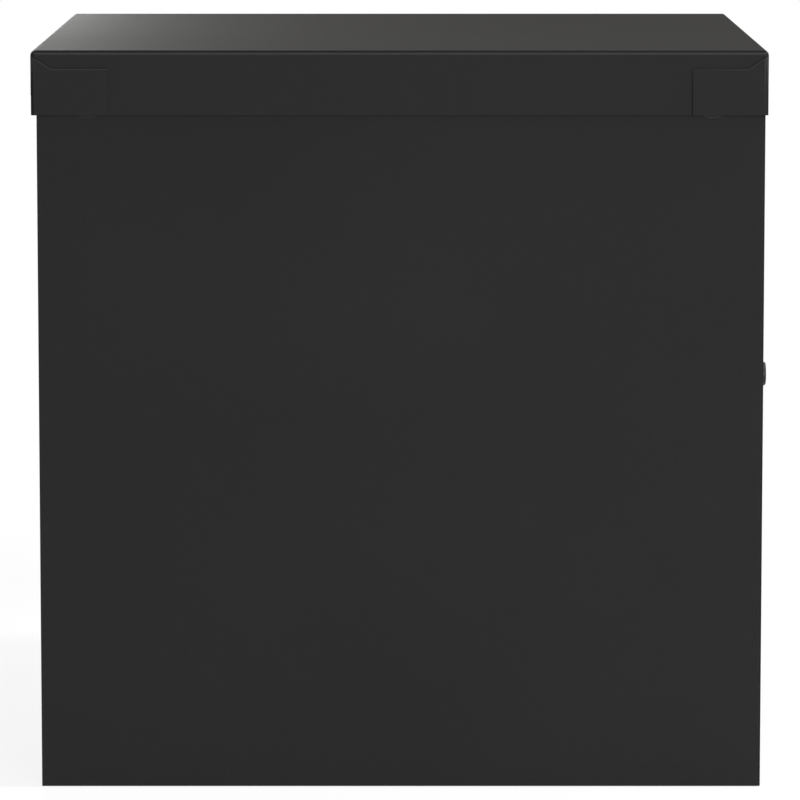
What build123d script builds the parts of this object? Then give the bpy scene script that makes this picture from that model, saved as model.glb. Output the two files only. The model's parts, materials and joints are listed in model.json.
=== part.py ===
from build123d import *
import os
from math import atan2, cos, hypot, sin

# A wall mounted mailbox of folded steel sheet. X runs across the box, the front faces -Y, the wall is the plane
# y = 0 and Z points up. The drawing below starts at the box's lowest edge; the origin moves to the middle of the
# wall holes when the pieces are written.

# Overall box
lid_width = 350.0
lid_depth = 365.0
total_height = 370.0
wall_standoff = 4.0

# Sheet and its folds
sheet = 0.8
bend = 1.6
weld_flange = 14.0
corner_relief = 3.0

# Lid
lid_skirt = 32.0
lid_bend = 2.4
rear_skirt = 22.0
tab_length = 38.0
tab_drop = 9.0
tab_mitre = 10.0
lid_side_gap = 2.2
lid_front_gap = 0.4
lid_rear_gap = 1.9
lid_rest_gap = 3.2

# Lid hinges
hinge_from_lid_end = 75.0
hinge_width = 40.0
hinge_middle = 14.0
hinge_pin_r = 1.5
knuckle_wall = 1.45
strap_sheet = 1.2
strap_foot = 24.0
leaf_sheet = 1.0
leaf_reach = 30.0
knuckle_gap = 0.4
window_gap = 3.0
scoop_gap = 0.8

# Side rivets and the rails behind them
rivet_from_lid_end = 27.9
rivet_above_skirt = 7.1
rivet_head_r = 9.0
rivet_head_height = 1.5
rivet_rim = 1.0
rivet_shank_r = 2.4
rivet_tail_r = 3.9
rivet_tail_height = 1.5
rail_sheet = 1.2
rail_width = 12.0
rail_above_rivet = 16.0
rail_below_rivet = 10.0
rail_past_rivet = 9.0

# Small rivets of the hinge straps
strap_rivet_r = 2.0
strap_rivet_head_r = 3.8
strap_rivet_head_height = 1.0
strap_rivet_rim = 0.25
strap_rivet_spacing = 22.0

# Door frame
stile = 12.0
stile_lip = 12.0
stop_fold = 8.0
sill_height = 12.0
header_below_skirt = 2.5
frame_lip = 11.0
header_return = 16.0
frame_gap = 0.3

# Door
door_gap = 2.0
door_flange = 10.0
pivot_from_edge = 7.0
pivot_from_front = 6.0
pivot_r = 2.0
pivot_engage = 5.0
pivot_head_r = 3.5
pivot_head_height = 1.5
bush_r = 3.0
bush_collar_r = 3.8
bush_below = 1.2
bush_slack = 0.2
stiffener_depth = 8.0
stiffener_top = 24.0
stiffener_foot = 12.0
stiffener_end_gap = 12.0

# Rubber bumpers
lid_bumper_r = 5.0
lid_bumper_spacing = 240.0
door_bumper_r = 3.0
door_bumper_spacing = 190.0
rubber_gap = 0.3

# Lock
lock_from_side = 33.0
lock_height = 205.0
lock_flange_r = 7.5
lock_flange = 2.0
lock_boss_r = 5.9
lock_boss = 3.2
lock_edge = 0.5
lock_barrel_r = 6.0
lock_flat_width = 10.4
plug_head_r = 5.0
plug_r = 4.0
plug_recess = 0.2
key_slot_width = 1.5
key_slot_height = 6.4
key_slot_depth = 6.0
tail_side = 5.0
cam_sheet = 1.6
cam_eye_r = 7.0
cam_tip_r = 5.0
cam_reach = 30.0
cam_play = 0.6
cam_end_gap = 0.3
washer_r = 9.0
washer_sheet = 0.6
nut_flats = 16.0
nut_height = 3.5
screw_head_r = 3.6
screw_head_height = 2.0
screw_r = 1.5
screw_length = 6.0

# Drop baffle
baffle_below_strap = 4.0
baffle_depth = 245.0
baffle_fall = 58.0
baffle_lip = 12.0

# Wall fixing and drains
wall_hole_r = 3.25
wall_hole_spacing_x = 200.0
wall_hole_spacing_z = 180.0
wall_hole_mid_z = 150.0
pad_face_r = 10.0
pad_foot_r = 15.0
drain_r = 3.0
drain_spacing_x = 240.0
drain_spacing_y = 240.0

# Fits
running_gap = 0.05
hole_gap = 0.05

# Places that follow from the sizes above
lid_half = lid_width / 2
skirt_out = lid_half - sheet
skirt_in = skirt_out - sheet
body_half = skirt_in - lid_side_gap
wall_in = body_half - sheet
inside_half = wall_in - bend
back_out_y = -wall_standoff
back_in_y = back_out_y - sheet
lid_rear_y = back_out_y + lid_rear_gap + sheet
lid_front_y = lid_rear_y - lid_depth
front_y = lid_front_y + sheet + lid_front_gap
frame_y = front_y + sheet
lid_under_z = total_height - sheet
skirt_z = total_height - lid_skirt
rear_skirt_z = total_height - rear_skirt
body_top_z = lid_under_z - lid_rest_gap

knuckle_r = hinge_pin_r + running_gap + knuckle_wall
lid_axis_y = back_in_y - knuckle_r
lid_axis_z = lid_under_z - knuckle_gap - knuckle_r
rear_skirt_swing = hypot(lid_rear_y - lid_axis_y, lid_axis_z - rear_skirt_z)
scoop_r = rear_skirt_swing + scoop_gap
back_top_z = lid_axis_z - scoop_r
strap_bottom_z = back_top_z - strap_foot
strap_rivet_z = back_top_z - strap_foot / 2
hinge_xs = (hinge_from_lid_end - lid_half, lid_half - hinge_from_lid_end)

rivet_ys = (lid_front_y + rivet_from_lid_end, lid_rear_y - rivet_from_lid_end)
rivet_z = skirt_z + rivet_above_skirt
rail_top_z = rivet_z + rail_above_rivet

header_z = skirt_z - header_below_skirt
door_half = body_half - stile - door_gap
door_bottom_z = sill_height + door_gap
door_top_z = header_z - door_gap
door_back_y = front_y + door_flange
pivot_x = door_half - pivot_from_edge
pivot_y = front_y + pivot_from_front

lock_x = lock_from_side - body_half
cam_front = stile_lip + sheet + cam_play
lock_barrel = cam_front - cam_end_gap

baffle_rear_z = strap_bottom_z - baffle_below_strap
baffle_front_y = back_in_y - baffle_depth
baffle_front_z = baffle_rear_z - baffle_fall

pieces = {}


# Helpers for folded and turned pieces
def folded(points, side, thick=sheet, radius=bend):
    """The section of a sheet folded along a line of points, with its thickness on one side of the line."""
    line = FilletPolyline(*points, radius=radius)
    return make_face(offset(line, amount=thick, side=side).edges())


def block(low, high):
    """A box between two corners."""
    size = [b - a for a, b in zip(low, high)]
    middle = [(a + b) / 2 for a, b in zip(low, high)]
    return Pos(*middle) * Box(*size)


def along_x(section, start, end):
    """A section drawn in Y and Z, carried from one x to another."""
    return Pos(start, 0, 0) * extrude(Plane.YZ * section, amount=end - start)


def along_z(section, start, end):
    """A section drawn in X and Y, carried from one height to another."""
    return Pos(0, 0, start) * extrude(section, amount=end - start)


def along_y(section, start, end):
    """A section drawn in X and Z, carried from a rear y to a front y."""
    return Pos(0, start, 0) * extrude(Plane.XZ * section, amount=start - end)


def rod_x(radius, start, end, y, z):
    """A round bar along X."""
    return Pos((start + end) / 2, y, z) * Rot(0, 90, 0) * Cylinder(radius, end - start)


def rod_z(radius, start, end, x, y):
    """A round bar along Z."""
    return Pos(x, y, (start + end) / 2) * Cylinder(radius, end - start)


def turned(*edges):
    """A section of edges in radius and height, closed along the axis and turned about Z."""
    return revolve(Plane.XZ * make_face(edges), Axis.Z)


def rivet(head_r, head_height, rim, shank_r, grip, tail_r, tail_height):
    """A domed rivet along Z, with the underside of its head at z = 0 and its tail below the grip."""
    crown = (0, head_height)
    end = -grip - tail_height
    rise = head_height - rim
    dome = RadiusArc(crown, (head_r, rim), (head_r**2 + rise**2) / (2 * rise))
    outline = Polyline(
        (head_r, rim), (head_r, 0), (shank_r, 0), (shank_r, -grip), (tail_r, -grip), (tail_r, end), (0, end), crown
    )
    return turned(*dome.edges(), *outline.edges())


def mirrored(piece):
    """The same piece on the other side of the box."""
    return mirror(piece, about=Plane.YZ)


lid_scoop = rod_x(scoop_r, -lid_half, lid_half, lid_axis_y, lid_axis_z)


# Side panels
def side_panel(with_stop):
    """The right hand side, folded at the front to a stile and a lip, and on the lock side to a door stop as well."""
    stile_x = body_half - stile
    line = [(body_half, back_out_y), (body_half, front_y), (stile_x, front_y), (stile_x, front_y + stile_lip)]
    reach_x = stile_x
    if with_stop:
        reach_x = stile_x - stop_fold
        line.append((reach_x, front_y + stile_lip))
    panel = along_z(folded(line, Side.RIGHT), 0, body_top_z)
    for low, high in ((0, sill_height + frame_gap), (header_z - frame_gap, body_top_z)):
        panel -= block((reach_x, frame_y, low), (inside_half, front_y + stile_lip + bend, high))
    panel -= lid_scoop
    for y in rivet_ys:
        panel -= rod_x(rivet_shank_r + hole_gap, wall_in - sheet, body_half + sheet, y, rivet_z)
    return panel


pieces["right_side_panel"] = side_panel(False)
pieces["left_side_panel"] = mirrored(side_panel(True))


# Back panel with pressed wall pads
def back_panel():
    """The back, folded forward at both sides, with a raised pad round each wall hole."""
    flange_y = back_out_y - weld_flange
    line = [(-wall_in, flange_y), (-wall_in, back_out_y), (wall_in, back_out_y), (wall_in, flange_y)]
    panel = along_z(folded(line, Side.RIGHT), 0, back_top_z)
    for low, high in ((-wall_in, -inside_half), (inside_half, wall_in)):
        panel -= block((low, flange_y, 0), (high, back_out_y - bend, weld_flange + frame_gap))
    slope = (pad_foot_r - pad_face_r) / wall_standoff
    for x in (-wall_hole_spacing_x / 2, wall_hole_spacing_x / 2):
        for z in (-wall_hole_spacing_z / 2, wall_hole_spacing_z / 2):
            seat = Pos(x, 0, wall_hole_mid_z + z) * Rot(90, 0, 0)
            panel += seat * turned(
                *Polyline(
                    (0, 0), (pad_face_r, 0), (pad_foot_r, wall_standoff), (0, wall_standoff), close=True
                ).edges()
            )
            panel -= seat * turned(
                *Polyline(
                    (0, sheet),
                    (pad_face_r - sheet / 2, sheet),
                    (pad_face_r - sheet / 2 + slope * wall_standoff, wall_standoff + sheet),
                    (0, wall_standoff + sheet),
                    close=True,
                ).edges()
            )
            panel -= seat * Cylinder(wall_hole_r, 4 * sheet)
    for x in hinge_xs:
        for dx in (-strap_rivet_spacing / 2, strap_rivet_spacing / 2):
            hole = Cylinder(strap_rivet_r + hole_gap, 4 * sheet)
            panel -= Pos(x + dx, (back_out_y + back_in_y) / 2, strap_rivet_z) * Rot(90, 0, 0) * hole
    return panel


pieces["back_panel"] = back_panel()


# Floor with its sill
def floor_pan():
    """The floor, with weld flanges at the rear and sides and a folded sill under the door."""
    line = [
        (back_in_y, weld_flange),
        (back_in_y, 0),
        (frame_y, 0),
        (frame_y, sill_height),
        (frame_y + frame_lip, sill_height),
    ]
    pan = along_x(folded(line, Side.RIGHT), -inside_half, inside_half)
    edge = folded([(wall_in, weld_flange), (wall_in, 0), (inside_half - bend, 0)], Side.RIGHT)
    flange = along_y(edge, back_in_y - corner_relief, frame_y + corner_relief)
    pan += [flange, mirrored(flange)]
    middle_y = (back_in_y + frame_y) / 2
    for x in (-drain_spacing_x / 2, drain_spacing_x / 2):
        for y in (-drain_spacing_y / 2, drain_spacing_y / 2):
            pan -= rod_z(drain_r, -sheet, 2 * sheet, x, middle_y + y)
    pan -= rod_z(pivot_r + hole_gap, sill_height - 2 * sheet, sill_height + sheet, pivot_x, pivot_y)
    return pan


pieces["floor_pan"] = floor_pan()


# Header over the door
def front_header():
    """The rail above the door, folded back at the rim and over the door."""
    line = [
        (frame_y + header_return, body_top_z),
        (frame_y, body_top_z),
        (frame_y, header_z),
        (frame_y + frame_lip, header_z),
    ]
    rail = along_x(folded(line, Side.LEFT), -inside_half, inside_half)
    return rail - rod_z(pivot_r + hole_gap, header_z - sheet, header_z + 2 * sheet, pivot_x, pivot_y)


pieces["front_header"] = front_header()


# Top rails and the side rivets that hold them
def top_rail():
    """The right hand angle under the rim, cut back where the lid's rear skirt swings."""
    line = [(wall_in, rivet_z - rail_below_rivet), (wall_in, rail_top_z), (wall_in - rail_width, rail_top_z)]
    rail = along_y(
        folded(line, Side.LEFT, rail_sheet), rivet_ys[1] + rail_past_rivet, rivet_ys[0] - rail_past_rivet
    )
    for y in rivet_ys:
        rail -= rod_x(rivet_shank_r + hole_gap, wall_in - 2 * rail_sheet, wall_in + sheet, y, rivet_z)
    return rail - lid_scoop


pieces["right_top_rail"] = top_rail()
pieces["left_top_rail"] = mirrored(pieces["right_top_rail"])


def side_rivets():
    """Two large domed rivets on each side."""
    one = rivet(
        rivet_head_r, rivet_head_height, rivet_rim, rivet_shank_r, sheet + rail_sheet, rivet_tail_r, rivet_tail_height
    )
    right = [Pos(body_half, y, rivet_z) * Rot(0, 90, 0) * one for y in rivet_ys]
    left = [Pos(-body_half, y, rivet_z) * Rot(0, -90, 0) * one for y in rivet_ys]
    return right + left


pieces["side_rivets"] = side_rivets()


# Drop baffle
def drop_baffle():
    """A plate that falls towards the door, flanged down on all four sides and open in front of its lip."""
    line = [
        (back_in_y, baffle_rear_z - weld_flange),
        (back_in_y, baffle_rear_z),
        (baffle_front_y, baffle_front_z),
        (baffle_front_y, baffle_front_z - baffle_lip),
    ]
    plate = along_x(folded(line, Side.LEFT), -inside_half, inside_half)
    fall = atan2(baffle_fall, baffle_depth)
    down_slope = (0, -cos(fall), -sin(fall))
    begin = (weld_flange + corner_relief) / cos(fall)
    end = (baffle_depth - corner_relief) / cos(fall)
    start = Plane(
        origin=(0, back_in_y - begin * cos(fall), baffle_rear_z - begin * sin(fall)), x_dir=(1, 0, 0), z_dir=down_slope
    )
    across = [(-wall_in, -weld_flange), (-wall_in, 0), (wall_in, 0), (wall_in, -weld_flange)]
    return plate + extrude(start * folded(across, Side.RIGHT), amount=end - begin)


pieces["drop_baffle"] = drop_baffle()


# Lid hinges: straps on the back panel, leaves under the lid, and their pins
def hinge_strap(x):
    """A strap that rises from the back panel to two curled knuckles."""
    low, high = x - hinge_width / 2, x + hinge_width / 2
    strap = block((low, back_in_y - strap_sheet, strap_bottom_z), (high, back_in_y, lid_axis_z))
    strap += rod_x(knuckle_r, low, high, lid_axis_y, lid_axis_z)
    middle = hinge_middle / 2 + knuckle_gap
    room = knuckle_r + knuckle_gap
    strap -= block(
        (x - middle, lid_axis_y - room, lid_axis_z - room), (x + middle, lid_axis_y + room, lid_axis_z + room)
    )
    strap -= rod_x(hinge_pin_r + running_gap, low, high, lid_axis_y, lid_axis_z)
    for dx in (-strap_rivet_spacing / 2, strap_rivet_spacing / 2):
        hole = Cylinder(strap_rivet_r + hole_gap, 4 * strap_sheet)
        strap -= Pos(x + dx, back_in_y - strap_sheet / 2, strap_rivet_z) * Rot(90, 0, 0) * hole
    return strap


def lid_leaf(x):
    """A leaf under the lid's top, with one knuckle between those of the strap."""
    leaf_z = lid_under_z - leaf_sheet
    near_y = lid_axis_y - knuckle_r - 2 * knuckle_gap
    middle = hinge_middle / 2
    leaf = block(
        (x - hinge_width / 2, lid_axis_y - leaf_reach, leaf_z), (x + hinge_width / 2, near_y, lid_under_z)
    )
    leaf += block((x - middle, near_y, leaf_z), (x + middle, lid_axis_y, lid_under_z))
    leaf += rod_x(knuckle_r, x - middle, x + middle, lid_axis_y, lid_axis_z)
    return leaf - rod_x(hinge_pin_r + running_gap, x - middle, x + middle, lid_axis_y, lid_axis_z)


for name, x in zip(("left", "right"), hinge_xs):
    pieces[name + "_hinge_strap"] = hinge_strap(x)
    pieces[name + "_lid_leaf"] = lid_leaf(x)
pieces["lid_hinge_pins"] = [
    rod_x(hinge_pin_r, x - hinge_width / 2, x + hinge_width / 2, lid_axis_y, lid_axis_z) for x in hinge_xs
]


def strap_rivets():
    """Two small rivets through the back panel and each strap."""
    one = rivet(
        strap_rivet_head_r,
        strap_rivet_head_height,
        strap_rivet_rim,
        strap_rivet_r,
        sheet + strap_sheet,
        strap_rivet_head_r,
        strap_rivet_head_height,
    )
    places = [(x + dx) for x in hinge_xs for dx in (-strap_rivet_spacing / 2, strap_rivet_spacing / 2)]
    return [Pos(x, back_out_y, strap_rivet_z) * Rot(-90, 0, 0) * one for x in places]


pieces["strap_rivets"] = strap_rivets()


# Lid: a folded pan whose front and rear skirts wrap round the corners
def corner_wrap():
    """The front skirt with its tabs, which lie on the outside of the side skirts and are mitred at the corners."""
    tab_end = lid_front_y + tab_length
    line = [(-lid_half, tab_end), (-lid_half, lid_front_y), (lid_half, lid_front_y), (lid_half, tab_end)]
    wrap = along_z(folded(line, Side.LEFT, radius=lid_bend), skirt_z, total_height - lid_bend)
    tab_top_z = total_height - tab_drop
    outline = Polyline(
        (lid_front_y, skirt_z),
        (tab_end, skirt_z),
        (tab_end, tab_top_z),
        (lid_front_y + tab_mitre, tab_top_z),
        (lid_front_y, total_height - lid_bend),
        close=True,
    )
    return wrap & along_x(make_face(outline), -lid_half, lid_half)


def lid():
    """The lid, open below, with its rear skirt cut short and cut away round the hinges."""
    pan = block((-skirt_out, lid_front_y, skirt_z), (skirt_out, lid_rear_y, total_height))
    pan = fillet(pan.edges().group_by(Axis.Z)[-1] + pan.edges().filter_by(Axis.Z), lid_bend)
    hollow = block(
        (-skirt_in, lid_front_y + sheet, skirt_z - sheet), (skirt_in, lid_rear_y - sheet, lid_under_z)
    )
    front_wrap = corner_wrap()
    middle_plane = Plane.XZ.offset(-(lid_front_y + lid_rear_y) / 2)
    pan += [front_wrap, mirror(front_wrap, about=middle_plane)]
    pan -= fillet(hollow.edges().group_by(Axis.Z)[-1], lid_bend - sheet)
    pan -= block((-skirt_in, lid_rear_y - sheet, skirt_z), (skirt_in, lid_rear_y, rear_skirt_z))
    for x in hinge_xs:
        half = hinge_width / 2 + window_gap
        pan -= block((x - half, lid_rear_y - lid_bend, skirt_z), (x + half, lid_rear_y, total_height))
    return pan


pieces["lid"] = lid()


# Rubber bumpers
def lid_bumpers():
    """Two round bumpers on the header, just under the lid."""
    top_z = lid_under_z - rubber_gap
    y = frame_y + header_return / 2
    places = (-lid_bumper_spacing / 2, lid_bumper_spacing / 2)
    bumpers = [rod_z(lid_bumper_r, body_top_z, top_z, x, y) for x in places]
    return [chamfer(bumper.edges().group_by(Axis.Z)[-1], (top_z - body_top_z) / 3) for bumper in bumpers]


pieces["lid_bumpers"] = lid_bumpers()


def door_bumpers():
    """Two round bumpers on the door stop, just behind the door's folded edge."""
    stop_y = front_y + stile_lip
    near_y = door_back_y + rubber_gap
    x = (bend + stop_fold) / 2 + stile - body_half
    middle_z = (door_bottom_z + door_top_z) / 2
    places = (middle_z - door_bumper_spacing / 2, middle_z + door_bumper_spacing / 2)
    one = Rot(90, 0, 0) * Cylinder(door_bumper_r, stop_y - near_y)
    return [Pos(x, (stop_y + near_y) / 2, z) * one for z in places]


pieces["door_bumpers"] = door_bumpers()


# Door
def lock_seat(extra, start, end):
    """The lock barrel's outline with two flats, as a bar along its own axis."""
    bar = Pos(0, 0, (start + end) / 2) * Cylinder(lock_barrel_r + extra, end - start)
    flats = Box(lock_flat_width + 2 * extra, 4 * lock_barrel_r, 4 * (end - start))
    return bar & flats


lock_place = Pos(lock_x, front_y, lock_height) * Rot(90, 0, 0)


def door():
    """The door, a shallow pan open at the back, with pivot holes in its top and bottom folds."""
    pan = block((-door_half, front_y, door_bottom_z), (door_half, door_back_y, door_top_z))
    pan = fillet(pan.edges().group_by(Axis.Y)[0] + pan.edges().filter_by(Axis.Y), bend)
    inner = door_half - sheet
    hollow = block(
        (-inner, front_y + sheet, door_bottom_z + sheet), (inner, door_back_y + sheet, door_top_z - sheet)
    )
    pan -= fillet(hollow.edges().group_by(Axis.Y)[0] + hollow.edges().filter_by(Axis.Y), bend - sheet)
    pan -= lock_place * lock_seat(hole_gap, -2 * sheet, sheet)
    pan -= rod_z(bush_r + hole_gap, door_bottom_z - sheet, door_bottom_z + 2 * sheet, pivot_x, pivot_y)
    pan -= rod_z(bush_r + hole_gap, door_top_z - 2 * sheet, door_top_z + sheet, pivot_x, pivot_y)
    return pan


pieces["door"] = door()


def door_stiffener():
    """A hat section welded down the middle of the door's inside."""
    base = front_y + sheet
    ridge = base + stiffener_depth
    half = stiffener_top / 2
    foot = half + stiffener_foot
    line = [(-foot, base), (-half, base), (-half, ridge), (half, ridge), (half, base), (foot, base)]
    return along_z(folded(line, Side.LEFT), door_bottom_z + stiffener_end_gap, door_top_z - stiffener_end_gap)


pieces["door_stiffener"] = door_stiffener()


def pivot_pin():
    """The upper pivot pin, headed above the header's fold and reaching down into the door."""
    fold_top_z = header_z + sheet
    pin = rod_z(pivot_r, door_top_z - pivot_engage, fold_top_z, pivot_x, pivot_y)
    return pin + rod_z(pivot_head_r, fold_top_z, fold_top_z + pivot_head_height, pivot_x, pivot_y)


def pivot_bush():
    """The upper bush, a sleeve in the door's top fold with a collar in the gap above it."""
    collar_z = header_z - bush_slack
    sleeve = rod_z(bush_r, door_top_z - sheet - bush_below, door_top_z, pivot_x, pivot_y)
    sleeve += rod_z(bush_collar_r, door_top_z, collar_z, pivot_x, pivot_y)
    return sleeve - rod_z(pivot_r + running_gap, door_top_z - 4 * sheet, header_z, pivot_x, pivot_y)


door_middle = Plane.XY.offset((door_bottom_z + door_top_z) / 2)
pieces["door_pivot_pins"] = [pivot_pin(), mirror(pivot_pin(), about=door_middle)]
pieces["door_bushes"] = [pivot_bush(), mirror(pivot_bush(), about=door_middle)]


# Lock, drawn along Z with the door's face at z = 0 and the key side upwards
def lock_housing():
    """The lock's round head and flatted barrel, bored for the plug."""
    flange = Pos(0, 0, lock_flange / 2) * Cylinder(lock_flange_r, lock_flange)
    boss = Pos(0, 0, lock_boss / 2) * Cylinder(lock_boss_r, lock_boss)
    head = chamfer(flange.edges().group_by(Axis.Z)[-1], lock_edge)
    head += chamfer(boss.edges().group_by(Axis.Z)[-1], lock_edge)
    housing = head + lock_seat(0, -lock_barrel, 0)
    bore_depth = lock_boss + lock_barrel
    housing -= Pos(0, 0, lock_boss - bore_depth / 2) * Cylinder(plug_r + running_gap, bore_depth)
    head_depth = lock_boss - lock_flange
    housing -= Pos(0, 0, lock_boss - head_depth / 2) * Cylinder(plug_head_r + running_gap, head_depth)
    return housing


def lock_plug():
    """The turning plug: a slotted head, a round body and a square tail for the cam."""
    head_z = lock_boss - plug_recess
    shoulder_z = lock_flange + running_gap
    plug = Pos(0, 0, (head_z + shoulder_z) / 2) * Cylinder(plug_head_r, head_z - shoulder_z)
    plug += Pos(0, 0, (shoulder_z - cam_front) / 2) * Cylinder(plug_r, shoulder_z + cam_front)
    plug += Pos(0, 0, -cam_front - cam_sheet / 2) * Box(tail_side, tail_side, cam_sheet)
    plug -= Pos(0, 0, head_z - key_slot_depth / 2) * Box(key_slot_width, key_slot_height, key_slot_depth)
    return plug - Pos(0, 0, -cam_front - cam_sheet + screw_length / 2) * Cylinder(screw_r, screw_length)


def lock_cam():
    """The flat cam, which hangs straight down when the lock is open."""
    outline = Circle(cam_eye_r) + Pos(0, -(cam_reach - cam_tip_r)) * Circle(cam_tip_r)
    outline += Pos(0, -(cam_reach - cam_tip_r) / 2) * Rectangle(2 * cam_tip_r, cam_reach - cam_tip_r)
    outline -= Rectangle(tail_side + 2 * hole_gap, tail_side + 2 * hole_gap)
    return Pos(0, 0, -cam_front - cam_sheet) * extrude(outline, amount=cam_sheet)


def cam_screw():
    """The pan head screw behind the cam."""
    top = -cam_front - cam_sheet
    head = Pos(0, 0, top - screw_head_height / 2) * Cylinder(screw_head_r, screw_head_height)
    head = chamfer(head.edges().group_by(Axis.Z)[0], screw_head_height / 2)
    return head + Pos(0, 0, top + screw_length / 2) * Cylinder(screw_r, screw_length)


def lock_ring(outline, top, thick):
    """A flat ring round the barrel, below the given height."""
    ring = Pos(0, 0, top - thick) * extrude(outline, amount=thick)
    return ring - Pos(0, 0, top - thick / 2) * Cylinder(lock_barrel_r + hole_gap, 2 * thick)


nut_outline = RegularPolygon(nut_flats / 2, 6, major_radius=False)
pieces["lock_housing"] = lock_place * lock_housing()
pieces["lock_washer"] = lock_place * lock_ring(Circle(washer_r), -sheet, washer_sheet)
pieces["lock_nut"] = lock_place * lock_ring(nut_outline, -sheet - washer_sheet, nut_height)
pieces["lock_plug"] = lock_place * lock_plug()
pieces["lock_cam"] = lock_place * lock_cam()
pieces["cam_screw"] = lock_place * cam_screw()

# Writing the pieces, with the origin at the middle of the wall holes
os.makedirs("parts", exist_ok=True)
to_origin = Pos(0, 0, -wall_hole_mid_z)
for name, shape in pieces.items():
    solids = shape if isinstance(shape, list) else [shape]
    moved = [solid for one in solids for solid in (to_origin * one).solids()]
    export_step(moved[0] if len(moved) == 1 else Compound(children=moved), f"parts/{name}.step")
    print(name, len(moved), "solids", round(sum(solid.volume for solid in moved)), "mm3")
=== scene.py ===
# %% [markdown]
# # A wall mounted mailbox in black steel
# The mechanical model of the mailbox is already finished: every folded sheet, hinge and rivet and the whole lock
# come in at their real size, in metres. This lesson gives them their finish, adds the small details that are too
# fine for the mechanical model, and sets up a plain studio round the box.

import json
from math import cos, pi, radians, sin

import bmesh
import bpy
from mathutils import Matrix, Vector


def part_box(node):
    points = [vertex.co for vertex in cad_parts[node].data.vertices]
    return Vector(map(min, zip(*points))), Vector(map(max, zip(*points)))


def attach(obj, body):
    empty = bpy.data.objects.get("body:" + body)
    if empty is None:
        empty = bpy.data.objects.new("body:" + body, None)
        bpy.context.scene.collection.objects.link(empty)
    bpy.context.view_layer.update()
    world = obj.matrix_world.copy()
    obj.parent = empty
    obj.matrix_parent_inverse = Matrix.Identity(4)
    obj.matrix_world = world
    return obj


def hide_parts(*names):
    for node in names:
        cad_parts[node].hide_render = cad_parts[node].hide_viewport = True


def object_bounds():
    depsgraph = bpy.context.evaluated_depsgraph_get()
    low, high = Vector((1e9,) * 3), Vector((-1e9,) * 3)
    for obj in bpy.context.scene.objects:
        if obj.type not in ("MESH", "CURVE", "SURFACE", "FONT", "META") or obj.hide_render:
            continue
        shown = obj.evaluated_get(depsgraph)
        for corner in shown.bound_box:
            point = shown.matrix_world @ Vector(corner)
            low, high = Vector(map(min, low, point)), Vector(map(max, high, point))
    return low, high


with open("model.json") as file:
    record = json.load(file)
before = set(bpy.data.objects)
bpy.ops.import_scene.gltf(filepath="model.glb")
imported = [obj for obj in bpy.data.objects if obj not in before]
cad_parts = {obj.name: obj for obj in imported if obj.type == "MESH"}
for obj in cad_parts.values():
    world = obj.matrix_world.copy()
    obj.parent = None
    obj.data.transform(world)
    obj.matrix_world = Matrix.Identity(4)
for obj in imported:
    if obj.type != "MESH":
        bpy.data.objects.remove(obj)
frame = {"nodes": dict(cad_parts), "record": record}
cad_low, cad_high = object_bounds()
nodes = frame["nodes"]
mm = 0.001
print("pieces in the model:", len(nodes), "size in mm:", [round(s / mm, 1) for s in cad_high - cad_low])

# %% [markdown]
# ## Shader sums that read like sums
# A finish is a small calculation over the surface: some noise, a mask, a colour between two others. Wiring that by
# hand takes many lines, so one class wraps a socket. Adding or multiplying it adds a Math node, and its node()
# method adds any other kind of node, with its settings first and its inputs after them.

# %% A socket that can be used in sums
class Shade:
    """A socket of a shader. Sums on it add Math nodes, and node() adds every other kind."""

    def __init__(self, tree, socket=None):
        self.tree = tree
        self.socket = socket

    def node(self, kind, settings=None, inputs=None, out=None):
        made = self.tree.nodes.new("ShaderNode" + kind)
        for name, value in (settings or {}).items():
            setattr(made, name, value)
        sockets = {socket.identifier: socket for socket in made.inputs}
        for name, value in (inputs or {}).items():
            if isinstance(value, Shade):
                self.tree.links.new(value.socket, sockets[name])
            else:
                sockets[name].default_value = value
        results = {socket.identifier: socket for socket in made.outputs}
        first = made.outputs[0] if made.outputs else None
        return Shade(self.tree, results[out] if out else first)

    def math(self, operation, first, second=0.0):
        return self.node("Math", {"operation": operation, "use_clamp": False}, {"Value": first, "Value_001": second})

    def __add__(self, other):
        return self.math("ADD", self, other)

    def __radd__(self, other):
        return self.math("ADD", other, self)

    def __sub__(self, other):
        return self.math("SUBTRACT", self, other)

    def __rsub__(self, other):
        return self.math("SUBTRACT", other, self)

    def __mul__(self, other):
        return self.math("MULTIPLY", self, other)

    def __rmul__(self, other):
        return self.math("MULTIPLY", other, self)

    def within(self, low, high):
        """0 below low, 1 above high and a smooth rise between them."""
        levels = {"From Min": low, "From Max": high, "Value": self}
        return self.node("MapRange", {"interpolation_type": "SMOOTHSTEP"}, levels)


# %% [markdown]
# Every finish starts the same way: a new material, the point on the piece in metres, and at the end one Principled
# shader. Noise is asked for by the size of its blotches in metres, which is easier to judge than a scale.

# %% Small helpers for finishes
def new_finish(name):
    """A new material's empty tree and the point on the piece."""
    material = bpy.data.materials.new(name)
    material.use_nodes = True
    material.node_tree.nodes.clear()
    tree = Shade(material.node_tree)
    return material, tree.node("TexCoord", out="Object")


def noise(where, size, detail=2.0, stretch=(1.0, 1.0, 1.0)):
    """Noise from 0 to 1 whose blotches are about as large as size."""
    scaled = where.node("Mapping", inputs={"Vector": where, "Scale": stretch})
    levels = {"Vector": scaled, "Scale": 1 / size, "Detail": detail}
    return where.node("TexNoise", inputs=levels, out="Fac")


def between(share, low, high):
    """A colour between two others; the first may come from other nodes."""
    first = low if isinstance(low, Shade) else (*low, 1.0)
    levels = {"Factor_Float": share, "A_Color": first, "B_Color": (*high, 1.0)}
    return share.node("Mix", {"data_type": "RGBA"}, levels, out="Result_Color")


def rounded_edge(where, radius):
    """The normal as if every sharp edge had that radius."""
    return where.node("Bevel", {"samples": 6}, {"Radius": radius})


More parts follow.
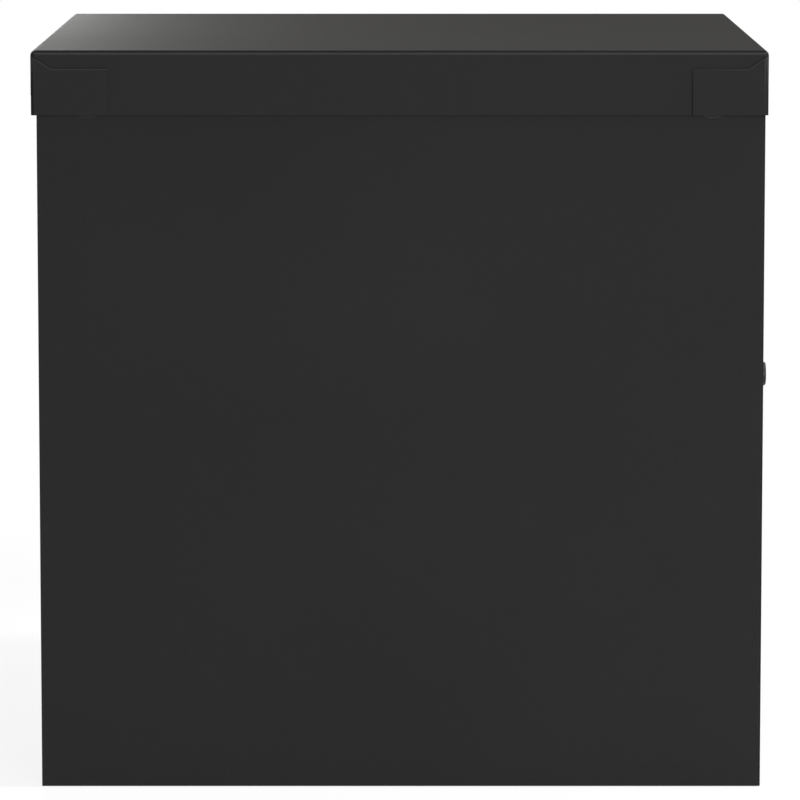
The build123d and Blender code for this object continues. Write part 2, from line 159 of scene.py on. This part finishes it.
def edge_mask(where, rounded):
    """1 at the edges that a rounded normal softens and 0 on the flats."""
    plain = where.node("NewGeometry", out="Normal")
    both = {"Vector": rounded, "Vector_001": plain}
    agree = where.node("VectorMath", {"operation": "DOT_PRODUCT"}, both, out="Value")
    return (1 - agree).within(0.02, 0.25)


def finished(surface, **inputs):
    """Closes a finish with a Principled shader."""
    named = {name.replace("_", " "): value for name, value in inputs.items()}
    shader = surface.node("BsdfPrincipled", inputs=named)
    surface.node("OutputMaterial", inputs={"Surface": shader})


# %% [markdown]
# ## Black powder coat
# The sheets are steel under a baked powder. It melts into a matt black skin with a very fine, pebbled grain, a little
# paler where it runs thin over cut edges. Two sizes of noise make the pebbles as bump, and a wide, weak noise keeps
# the large plain sides from looking like paper.
#
# Along the lid's folds the colour gets a dark line of painted shade where the sheet begins to turn down, and a pale
# line of painted highlight below it. The lid's level top is painted a warmer, evener black, a painted tint for the
# glancing light on it, and the upright folds of all sheets are painted darker, as painted shade. Their masks come from
# the direction in which the piece faces, in its own coordinates, so they stay where they are when the lid opens.

# %% Masks for folded sheet
def fold_masks(where):
    """Masks for the level folds and for the upright folds of a sheet, and one for its upright corners."""
    facing = where.node("TexCoord", out="Normal")
    along = where.node("VectorMath", {"operation": "ABSOLUTE"}, {"Vector": facing})
    x, y, z = [where.node("SeparateXYZ", inputs={"Vector": along}, out=axis) for axis in "XYZ"]
    largest = where.math("MAXIMUM", where.math("MAXIMUM", x, y), z)
    turning = (1 - largest).within(0.01, 0.12)
    corner = where.math("MINIMUM", x, y).within(0.05, 0.2) * (1 - z.within(0.25, 0.5))
    return turning * (1 - corner), turning * corner, corner


def lid_bands(where, corner):
    """Masks for the lid's level top and for the two bands of the fold below it."""
    facing = where.node("TexCoord", out="Normal")
    up = where.node("SeparateXYZ", inputs={"Vector": facing}, out="Z")
    level = up.within(0.975, 0.999)
    shoulder = up.within(0.5, 0.74) * (1 - up.within(0.86, 0.97)) * (1 - corner)
    brow = up.within(0.0, 0.3) * (1 - up.within(0.36, 0.66)) * (1 - corner)
    return level, shoulder, brow


# %% The powder coat
coat_dark, coat_pale = (0.0168, 0.0168, 0.0169), (0.0312, 0.0312, 0.0313)
# Painted light on the coat: a near-black painted shade for the upright folds and a warmer painted tint for the lid's
# level top.
upright_fold_painted_shade, lid_top_painted_tint = (0.006, 0.006, 0.006), (0.0227, 0.0221, 0.0199)
# painted shade and painted highlight for the two bands along the lid's fold
fold_painted_shade, fold_painted_highlight = (0.002, 0.002, 0.002), (0.06, 0.06, 0.06)


def powder_coat(name, edge_round, on_lid=False, tone=1.0):
    """The coat of the sheets, with painted shade on their upright folds. A tone above 1 makes it paler, and the lid's
    has a painted tint on its top and bands of painted shade and painted highlight along its folds.
    """
    material, where = new_finish(name)
    grain = noise(where, 0.5 * mm, detail=3.0)
    pebble = noise(where, 1.6 * mm)
    cloud = noise(where, 120 * mm)
    normal = rounded_edge(where, edge_round)
    edge = edge_mask(where, normal)
    fold, upright, corner = fold_masks(where)
    relief = 0.6 * grain + 0.4 * pebble
    bump = {"Strength": 0.7, "Distance": 0.12 * mm, "Height": relief, "Normal": normal}
    shade = 0.4 * grain + 0.2 * cloud + 0.25 * edge + 0.15 * fold
    colour = between(shade, [tone * part for part in coat_dark], [tone * part for part in coat_pale])
    # painted shade: the upright folds are darkened towards near black
    colour = between(0.58 * upright, colour, upright_fold_painted_shade)
    roughness = 0.8 - 0.06 * pebble + 0.06 * cloud - 0.38 * fold + 0.2 * upright
    if on_lid:
        level, shoulder, brow = lid_bands(where, corner)
        # painted tint: the level top gets a warmer, evener black for the glancing light on it
        colour = between(0.65 * level, colour, lid_top_painted_tint)
        # painted shade where the lid's fold begins to turn down, and a painted highlight below it
        colour = between(0.56 * shoulder, colour, fold_painted_shade)
        colour = between(0.36 * brow, colour, fold_painted_highlight)
        roughness = roughness + 0.5 * shoulder
    finished(
        where,
        Base_Color=colour,
        Roughness=roughness,
        Specular_IOR_Level=0.027,
        Specular_Tint=(1.0, 0.95, 0.88, 1.0),
        Normal=where.node("Bump", inputs=bump),
    )
    return material


# %% [markdown]
# ## Zinc and chrome
# The hinges, pins, washer, nut and cam are zinc plated: bright, cold grey, slightly cloudy and finely streaked. The
# lock's head is black chrome and its plug satin chrome, turned on a lathe, so its marks run in rings. The rings are
# noise over the distance from the lock's axis alone. No light gets far into the slot for the key, so the plug turns
# dark a little behind its face.

# %% Plated metals
def zinc_plate():
    material, where = new_finish("bright_zinc")
    cloud = noise(where, 6 * mm, detail=4.0)
    streak = noise(where, 0.5 * mm, stretch=(0.08, 1.0, 1.0))
    normal = rounded_edge(where, 0.3 * mm)
    edge = edge_mask(where, normal)
    bump = {"Strength": 0.2, "Distance": 0.03 * mm, "Height": streak, "Normal": normal}
    finished(
        where,
        Base_Color=between(cloud, (0.3, 0.31, 0.33), (0.5, 0.5, 0.485)),
        Metallic=1.0,
        Roughness=0.26 + 0.2 * cloud + 0.1 * streak - 0.1 * edge,
        Normal=where.node("Bump", inputs=bump),
    )
    return material


def turned_chrome(name, dark, pale, roughness, centre, slotted_face=None):
    """Chrome with rings round a centre, and painted shade behind a face that has a slot in it."""
    material, where = new_finish(name)
    moved = where.node("Mapping", inputs={"Vector": where, "Location": [-part for part in centre]})
    flat = where.node("VectorMath", {"operation": "MULTIPLY"}, {"Vector": moved, "Vector_001": (1, 0, 1)})
    reach = where.node("VectorMath", {"operation": "LENGTH"}, {"Vector": flat}, out="Value")
    rings = noise(where.node("CombineXYZ", inputs={"X": reach}), 0.12 * mm)
    haze = noise(where, 3 * mm)
    normal = rounded_edge(where, 0.3 * mm)
    bump = {"Strength": 0.15, "Distance": 0.02 * mm, "Height": rings, "Normal": normal}
    colour = between(0.6 * haze + 0.4 * rings, dark, pale)
    if slotted_face is not None:
        # painted shade: the colour turns dark just behind the plug's face, where the key slot is
        along = where.node("SeparateXYZ", inputs={"Vector": where}, out="Y")
        behind = along.within(slotted_face + 0.2 * mm, slotted_face + mm)
        colour = between(behind, colour, (0.02, 0.02, 0.021))
    finished(
        where,
        Base_Color=colour,
        Metallic=1.0,
        Roughness=roughness + 0.1 * rings + 0.05 * haze,
        Normal=where.node("Bump", inputs=bump),
    )
    return material


# %% [markdown]
# ## Rubber and nylon
# The bumpers are matt rubber and the pivot bushes moulded nylon. Both come out of a mould with a fine grain and gather
# a little dust, so one function makes them, and the numbers that it is given tell them apart.

# %% Moulded materials
def moulded(name, dark, pale, roughness, grain_size):
    material, where = new_finish(name)
    grain = noise(where, grain_size, detail=3.0)
    dust = noise(where, 4 * mm)
    normal = rounded_edge(where, 0.4 * mm)
    bump = {"Strength": 0.3, "Distance": 0.05 * mm, "Height": grain, "Normal": normal}
    finished(
        where,
        Base_Color=between(0.5 * grain + 0.5 * dust, dark, pale),
        Roughness=roughness + 0.12 * dust,
        Specular_IOR_Level=0.35,
        Normal=where.node("Bump", inputs=bump),
    )
    return material


# %% [markdown]
# ## Dressing the pieces
# Each piece of the model names the kind of finish that it has. A dictionary turns that word into the material, so a
# piece that is added later gets the right one too. The rivet heads under the lid get a slightly paler coat, a painted
# highlight for the light that their domes catch.

# %% Put the finishes on the pieces
lock_low, lock_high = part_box("lock_housing")
lock_centre = (lock_low + lock_high) / 2
plug_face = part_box("lock_plug")[0].y
finishes = {
    "black_coat": powder_coat("black_powder_coat", 0.4 * mm),
    "zinc_steel": zinc_plate(),
    "dark_chrome": turned_chrome("black_chrome", (0.022, 0.022, 0.023), (0.045, 0.045, 0.047), 0.34, lock_centre),
    "lock_steel": turned_chrome("satin_chrome", (0.36, 0.36, 0.37), (0.58, 0.58, 0.58), 0.3, lock_centre, plug_face),
    "black_rubber": moulded("matt_rubber", (0.012, 0.012, 0.012), (0.024, 0.024, 0.024), 0.75, 0.4 * mm),
    "black_nylon": moulded("moulded_nylon", (0.02, 0.02, 0.021), (0.034, 0.034, 0.035), 0.42, 0.8 * mm),
}


def dress(node, finish):
    mesh = nodes[node].data
    mesh.materials.clear()
    mesh.materials.append(finish)


for piece in frame["record"]["subparts"]:
    dress(piece["node"], finishes[piece["material_slot"]])
# painted highlight: the rivet heads get a coat 1.3 times paler for the light their domes catch
dress("side_rivets", powder_coat("rivet_coat_painted_highlight", 0.3 * mm, tone=1.3))
print("finishes:", sorted(finishes))

# %% [markdown]
# ## Copies that can be worked on
# A piece of the mechanical model is a shell of loose triangles, and it is never changed. A copy can be: its doubled
# points are merged and its flats made whole, and then operators round it, cut it or press a recess into it.

# %% Copy a piece and round it
def merged_copy(node):
    """The piece as one connected shell with whole flats."""
    shape = bmesh.new()
    shape.from_mesh(nodes[node].data)
    bmesh.ops.remove_doubles(shape, verts=shape.verts, dist=0.002 * mm)
    bmesh.ops.dissolve_limit(shape, angle_limit=radians(0.5), verts=shape.verts, edges=shape.edges)
    return shape


def sharp_edges(shape, least=radians(35)):
    """The outer edges that a hand would feel."""
    return [edge for edge in shape.edges if edge.is_convex and edge.calc_face_angle(0.0) > least]


def end_faces(shape, axis, distance, margin=0.02 * mm):
    """The faces that look along an axis and lie at a distance on it."""
    along = [face for face in shape.faces if abs(face.normal[axis]) > 0.99]
    return [face for face in along if abs(face.calc_center_median()[axis] - distance) < margin]


def round_off(shape, edges, radius, steps=3):
    """Gives edges a real rounding."""
    settings = {"affect": "EDGES", "segments": steps, "profile": 0.5, "material": -1, "clamp_overlap": False}
    bmesh.ops.bevel(shape, geom=edges, offset=radius, **settings)


# %% [markdown]
# A finished copy rides on the same body as the plain piece and stands for it, so it moves with the lid, the door or
# the lock. Its flats keep a straight shading, because the normals are weighted by the size of the faces.

# %% Put a copy in its place
body_of = {node: body for body, held in frame["record"]["behaviour"]["bodies"].items() for node in held}
slot_of = {piece["node"]: piece["material_slot"] for piece in frame["record"]["subparts"]}


def place(shape, name, body, slot, finish=None):
    """A finished piece that rides on a body."""
    mesh = bpy.data.meshes.new(name)
    shape.to_mesh(mesh)
    shape.free()
    mesh.shade_smooth()
    mesh.set_sharp_from_angle(angle=radians(40))
    mesh.materials.append(finish or finishes[slot])
    piece = bpy.data.objects.new(name, mesh)
    bpy.context.scene.collection.objects.link(piece)
    piece.modifiers.new("flats_first", "WEIGHTED_NORMAL").keep_sharp = True
    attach(piece, body)
    print(name, "faces:", len(mesh.polygons))
    return piece


def stand_for(shape, node, finish=None):
    """The worked copy in the place of its plain piece."""
    piece = place(shape, "finished_" + node, body_of[node], slot_of[node], finish)
    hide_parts(node)


# %% [markdown]
# ## Rounded tabs and a straight rear edge on the lid
# At the corners the lid's front and rear skirts wrap round onto its sides as flat tabs. The coat softens the tabs' cut
# edges, which catch the light from above as thin bright lines. The copy gets a real bevel round the tabs, because a
# shading trick alone would stay in the tab's own shadow.
#
# In the mechanical model the two windows for the hinges cut right through the lid's rear fold. On the copy the top
# sheet goes on over them as a thin lip, which follows the fold only as far as the hinge straps leave room when the
# lid is open. The lip is the window's end face, extruded in steps along the arc of the fold.

# %% Round the tabs and close the rear edge
hair = 0.01 * mm


def tab_outlines(shape, low, high):
    """The sharp edges round the outer faces of the tabs, apart from their lower rim."""
    outermost = {v for v in shape.verts if min(v.co.x - low.x, high.x - v.co.x) < hair}
    sharp = [edge for edge in sharp_edges(shape) if outermost.issuperset(edge.verts)]
    return [edge for edge in sharp if max(v.co.z for v in edge.verts) > low.z + mm]


def window_lips(shape, high, fold, turn, steps=4):
    """Lets the top sheet go on over the hinge windows, round the first part of the rear fold."""
    window_ends = end_faces(shape, 1, high.y - fold)
    for end in [face for face in window_ends if face.calc_center_median().z > high.z - mm]:
        middle = end.calc_center_median()
        for step in range(steps):
            before, after = turn * step / steps, turn * (step + 1) / steps
            end = bmesh.ops.extrude_discrete_faces(shape, faces=[end])["faces"][0]
            upper = [v for v in end.verts if v.co.z > end.calc_center_median().z]
            bmesh.ops.translate(shape, verts=end.verts, vec=(0, fold * (sin(after) - sin(before)), 0))
            bmesh.ops.translate(shape, verts=upper, vec=(0, 0, fold * (cos(after) - cos(before))))
            if step == 0:  # slightly narrower than the window, so that no faces lie on each other
                across = Matrix.Translation((-middle.x, 0, 0))
                bmesh.ops.scale(shape, verts=end.verts, vec=(0.999, 1, 1), space=across)


def rounded_lid(fold, lip_turn, tab_round, rear_end_round):
    low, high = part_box("lid")
    shape = merged_copy("lid")
    window_lips(shape, high, fold, lip_turn)
    middle = (low.y + high.y) / 2
    outlines = tab_outlines(shape, low, high)
    upright = [edge for edge in outlines if abs(edge.verts[0].co.y - edge.verts[1].co.y) < hair]
    round_off(shape, [edge for edge in upright if edge.verts[0].co.y > middle], rear_end_round)
    round_off(shape, tab_outlines(shape, low, high), tab_round, steps=4)
    stand_for(shape, "lid", powder_coat("black_lid_coat", 0.15 * mm, on_lid=True))


rounded_lid(fold=2.4 * mm, lip_turn=radians(43), tab_round=0.7 * mm, rear_end_round=0.1 * mm)

# %% [markdown]
# ## Softened edges on the small metal parts
# Stamped and turned steel is tumbled before it is plated, so no edge of the nut, washer, cam, pins or hinge leaves is
# as sharp as in the mechanical model. Each gets a bevel of its own size, small on thin sheet and larger on the nut.

# %% Round the small metal parts
edge_rounds = {
    "lock_nut": 0.5 * mm,
    "lock_washer": 0.15 * mm,
    "lock_cam": 0.25 * mm,
    "lock_housing": 0.15 * mm,
    "left_hinge_strap": 0.2 * mm,
    "right_hinge_strap": 0.2 * mm,
    "left_lid_leaf": 0.2 * mm,
    "right_lid_leaf": 0.2 * mm,
    "lid_hinge_pins": 0.3 * mm,
    "door_pivot_pins": 0.3 * mm,
}
for node, radius in edge_rounds.items():
    shape = merged_copy(node)
    round_off(shape, sharp_edges(shape), radius)
    stand_for(shape, node)

# %% [markdown]
# ## Cross recess in the screw
# The screw behind the cam has a cross for a driver. Subtracting a cross as a solid would leave a ragged rim, so its
# outline is cut as lines into the round end of the screw, and the five cells between them are pushed in together with
# slightly sloped sides, as a real recess has.

# %% Press the cross into the screw
def cross_screw(node, arm, half_width, depth, taper):
    low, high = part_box(node)
    centre = (low + high) / 2
    shape = merged_copy(node)
    for axis in (Vector((1, 0, 0)), Vector((0, 0, 1))):
        for offset in (-arm, -half_width, half_width, arm):
            cells = end_faces(shape, 1, high.y)
            parts = {part for face in cells for part in (face, *face.edges, *face.verts)}
            bmesh.ops.bisect_plane(shape, geom=list(parts), plane_co=centre + offset * axis, plane_no=axis)
    cross = []
    for face in end_faces(shape, 1, high.y):
        aside = face.calc_center_median() - centre
        reach = sorted((abs(aside.x), abs(aside.z)))
        if reach[0] < half_width and reach[1] < arm:
            cross.append(face)
    bmesh.ops.inset_region(shape, faces=cross, use_even_offset=True, thickness=taper, depth=-depth)
    bmesh.ops.dissolve_degenerate(shape, dist=hair, edges=shape.edges)
    stand_for(shape, node)


cross_screw("cam_screw", arm=1.9 * mm, half_width=0.45 * mm, depth=0.9 * mm, taper=0.12 * mm)

# %% [markdown]
# ## Thread on the lock's barrel
# The nut that clamps the lock runs on a fine thread, of which the last turns show behind it when the door is open. One
# tooth is spun round the barrel while it moves along it, and the two flats of the barrel then cut the ridge off.

# %% Spin the thread
def barrel_thread(barrel, flat, height, pitch, steps=24):
    nut_end, barrel_end = [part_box(node)[1].y for node in ("lock_nut", "lock_housing")]
    start = Vector((lock_centre.x, nut_end + pitch / 2, lock_centre.z))
    turns = int((barrel_end - start.y) / pitch - 0.5)
    shape = bmesh.new()
    half_tooth = 0.4 * pitch
    tooth = ((barrel - height, -half_tooth), (barrel + height, 0.0), (barrel - height, half_tooth))
    first = shape.faces.new([shape.verts.new(start + Vector((out, along, 0))) for out, along in tooth])
    travel = {"dvec": (0, pitch / steps, 0), "angle": 2 * pi * turns, "steps": steps * turns}
    bmesh.ops.spin(shape, geom=[first, *first.edges, *first.verts], cent=start, axis=(0, 1, 0), **travel)
    for side in (-1, 1):
        everything = [*shape.verts, *shape.edges, *shape.faces]
        cut = {"plane_co": start + Vector((side * flat, 0, 0)), "plane_no": (side, 0, 0), "clear_outer": True}
        bmesh.ops.bisect_plane(shape, geom=everything, **cut)
        bmesh.ops.holes_fill(shape, edges=[edge for edge in shape.edges if edge.is_boundary], sides=0)
    bmesh.ops.remove_doubles(shape, verts=shape.verts, dist=0.001 * mm)
    bmesh.ops.recalc_face_normals(shape, faces=shape.faces)
    place(shape, "barrel_thread", "door", "dark_chrome")


barrel_thread(barrel=6.0 * mm, flat=5.25 * mm, height=0.22 * mm, pitch=0.9 * mm)

# %% [markdown]
# ## White room
# The box stands in a white studio, with an even sky all round it. The camera sees that sky in plain white, and so it
# shows in polished metal too. As a light it is much weaker, so that the lamps can shape the box.

# %% White sky
def white_room(dome):
    world = bpy.data.worlds.new("white_room")
    bpy.context.scene.world = world
    world.use_nodes = True
    world.node_tree.nodes.clear()
    tree = Shade(world.node_tree)
    seen = tree.node("LightPath", out="Is Camera Ray")
    shiny = tree.node("LightPath", out="Is Glossy Ray")
    through = tree.node("LightPath", out="Is Transmission Ray")
    direct = seen + shiny + through
    sky = {"Color": (1.0, 1.0, 1.0, 1.0), "Strength": dome + (1 - dome) * direct}
    tree.node("OutputWorld", inputs={"Surface": tree.node("Background", inputs=sky)})
    print(world.name, "lights with a strength of", dome)


white_room(dome=0.2)

# %% [markdown]
# ## Pale floor
# A large, matt floor lies just below the box. Most of what is seen of it is a white glow, through which the box's
# shadow still shows. Further from the box the glow takes over, so that the floor goes over into the sky.

# %% Floor
def pale_floor(height, reach, glow, fade):
    """A floor that glows in part near the middle and wholly beyond the fade."""
    shape = bmesh.new()
    bmesh.ops.create_grid(shape, x_segments=1, y_segments=1, size=reach)
    bmesh.ops.translate(shape, verts=shape.verts, vec=(0, 0, height))
    mesh = bpy.data.meshes.new("floor")
    shape.to_mesh(mesh)
    shape.free()
    floor = bpy.data.objects.new("floor", mesh)
    bpy.context.scene.collection.objects.link(floor)
    material, where = new_finish("pale_floor")
    matt = where.node("BsdfDiffuse", inputs={"Color": (0.86, 0.86, 0.86, 1.0)})
    bright = where.node("Emission", inputs={"Strength": 1.0})
    away = where.node("VectorMath", {"operation": "LENGTH"}, {"Vector": where}, out="Value")
    white = glow + (1 - glow) * away.within(*fade)
    seen = where.node("LightPath", out="Is Camera Ray") + where.node("LightPath", out="Is Glossy Ray")
    levels = {"Fac": white * seen, "Shader": matt, "Shader_001": bright}
    where.node("OutputMaterial", inputs={"Surface": where.node("MixShader", inputs=levels)})
    mesh.materials.append(material)
    print(floor.name, "at a height of", round(height / mm, 1), "mm")


pale_floor(height=cad_low.z - 0.5 * mm, reach=20.0, glow=0.86, fade=(0.35, 0.8))

# %% [markdown]
# ## Soft lamps
# The lamps add direction: a strip overhead towards the front, three round the box and one low at the right, so that
# no side is left in the dark. A small one beyond the lid's right rear corner sends glancing light along its top. The
# lamp in front isn't mirrored in metal, or the polished plug of the lock would be a white spot.

# %% Lamps
def soft_lamp(name, spot, target, size, power, mirrored=True):
    light = bpy.data.lights.new(name, "AREA")
    light.shape = "RECTANGLE"
    light.size, light.size_y = size
    light.energy = power
    lamp = bpy.data.objects.new(name, light)
    bpy.context.scene.collection.objects.link(lamp)
    lamp.location = spot
    lamp.rotation_euler = (Vector(target) - Vector(spot)).to_track_quat("-Z", "Y").to_euler()
    lamp.visible_camera = False
    lamp.visible_glossy = mirrored
    print("lamp", name, "with", power, "W")


box_middle = (cad_low + cad_high) / 2
lamp_distance, lamp_height = 2.6, 0.5
strip_aim = box_middle + Vector((-0.25, 0, 0))
soft_lamp("overhead", strip_aim + Vector((0, -1.3, 1.75)), strip_aim, (0.14, 1.2), 44.0)
for side, (turn, power) in {"front": (0, 38.0), "rear": (180, 26.0), "left": (285, 36.0)}.items():
    away = Vector((sin(radians(turn)), -cos(radians(turn)), 0)) * lamp_distance
    spot = box_middle + away + Vector((0, 0, lamp_height))
    soft_lamp("lamp_" + side, spot, box_middle, (1.0, 0.8), power, mirrored=side != "front")
soft_lamp("low_right", (lamp_distance, box_middle.y, 0.03), box_middle, (1.2, 0.25), 26.0)
beyond_corner, lid_rear = (0.38, 0.06, 0.31), (0.0, 0.02, 0.22)
soft_lamp("behind_lid", beyond_corner, lid_rear, (0.08, 0.08), 1.22)

# %% [markdown]
# ## Camera
# The picture looks straight at the left side of the box from a little above the lid, which shows a strip of its top.
# A long lens from some way off keeps the upright edges almost parallel.

# %% Camera
camera_distance, camera_tilt, camera_lens = 2.6, 7.205, 236.88
near_side, middle_of_side, camera_height = -0.1742, -0.184, 0.3748
camera_place = (near_side - camera_distance, middle_of_side, camera_height)
view = bpy.data.cameras.new("side_view")
view.lens = camera_lens
view.clip_end = 100.0
camera = bpy.data.objects.new("side_view", view)
bpy.context.scene.collection.objects.link(camera)
camera.location = camera_place
camera.rotation_euler = (radians(90 - camera_tilt), 0, radians(-90))
bpy.context.scene.camera = camera
bpy.context.scene.view_settings.view_transform = "Standard"
print("camera at", [round(part, 3) for part in camera_place], "m, tilted down by", camera_tilt, "degrees")
